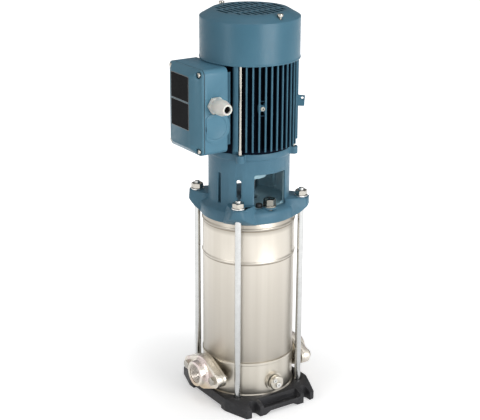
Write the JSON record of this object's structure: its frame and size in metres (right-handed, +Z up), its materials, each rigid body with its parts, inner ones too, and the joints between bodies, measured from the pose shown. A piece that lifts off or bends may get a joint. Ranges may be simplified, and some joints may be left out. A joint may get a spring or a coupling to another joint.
{
  "type": "vertical multistage pump",
  "caption": "Vertical in-line multistage pump with oval threaded flanges, stainless jacket held by tie rods, windowed lantern and finned electric motor with terminal box and cowled fan",
  "frame": {"origin": "on the floor, on the pump axis, in the middle of the anchor pattern", "axes": "+Z up along the shaft, the suction port faces -X, the delivery port +X, the drain plug -Y"},
  "size_m": [0.23, 0.202, 0.6375],
  "materials": {
    "foot_paint": "dark grey paint on cast iron",
    "motor_paint": "satin blue-grey paint over a casting",
    "cover_paint": "satin blue-grey paint on sheet",
    "jacket_steel": "rolled stainless sheet",
    "stainless": "pressed stainless steel",
    "flange_steel": "blasted grey metal",
    "bright_steel": "bright zinc plating",
    "shaft_steel": "ground steel",
    "core_steel": "laminated sheet",
    "copper_winding": "varnished copper wire",
    "seal_rubber": "moulded rubber",
    "gasket_grey": "flat fibre gasket",
    "ceramic_grey": "lapped ceramic",
    "black_plastic": "moulded plastic",
    "white_plastic": "off-white nylon"
  },
  "bodies": {
    "pump": {"bearing_outer_rings": "shaft_steel", "cover_screws": "bright_steel", "delivery_flange": "flange_steel", "drain_plug": "stainless", "drain_screws": "bright_steel", "drain_washer": "seal_rubber", "earth_screw": "bright_steel", "end_windings": "copper_winding", "fan_cover": "cover_paint", "fan_end_shield": "motor_paint", "fill_plug": "bright_steel", "flange_bolts": "bright_steel", "flange_gaskets": "gasket_grey", "flange_nuts": "bright_steel", "foot_casting": "foot_paint", "gland_body": "white_plastic", "gland_nut": "white_plastic", "jacket_rings": "seal_rubber", "lantern_bracket": "motor_paint", "lid_gasket": "seal_rubber", "lid_screws": "bright_steel", "motor_frame": "motor_paint", "motor_tie_bolts": "bright_steel", "outer_jacket": "jacket_steel", "pump_casing": "stainless", "pump_head": "stainless", "rod_nuts": "bright_steel", "rod_washers": "bright_steel", "seal_seat": "ceramic_grey", "sleeve_bearing": "stainless", "stack_spacer": "stainless", "stage_bowl_1": "stainless", "stage_bowl_2": "stainless", "stage_bowl_3": "stainless", "stage_bowl_4": "stainless", "stage_bowl_5": "stainless", "stage_bowl_6": "stainless", "stator_core": "core_steel", "suction_flange": "flange_steel", "terminal_board": "black_plastic", "terminal_box": "motor_paint", "terminal_lid": "motor_paint", "tie_rods": "bright_steel", "vent_cap": "black_plastic", "wave_spring": "shaft_steel"},
    "rotor": {"motor_shaft": "shaft_steel", "rotor_core": "core_steel", "bearing_inner_rings": "shaft_steel", "bearing_balls": "shaft_steel", "fan": "black_plastic", "coupling_screws": "bright_steel", "pump_shaft": "shaft_steel", "spacer_sleeve": "shaft_steel", "seal_ring": "seal_rubber", "impeller_1": "stainless", "impeller_2": "stainless", "impeller_3": "stainless", "impeller_4": "stainless", "impeller_5": "stainless", "impeller_6": "stainless"}
  },
  "joints": [
    {"name": "rotor_spin", "type": "hinge", "parent": "pump", "child": "rotor", "pos_m": [0, 0, 0.39], "axis": [0, 0, 1], "continuous": true}
  ]
}
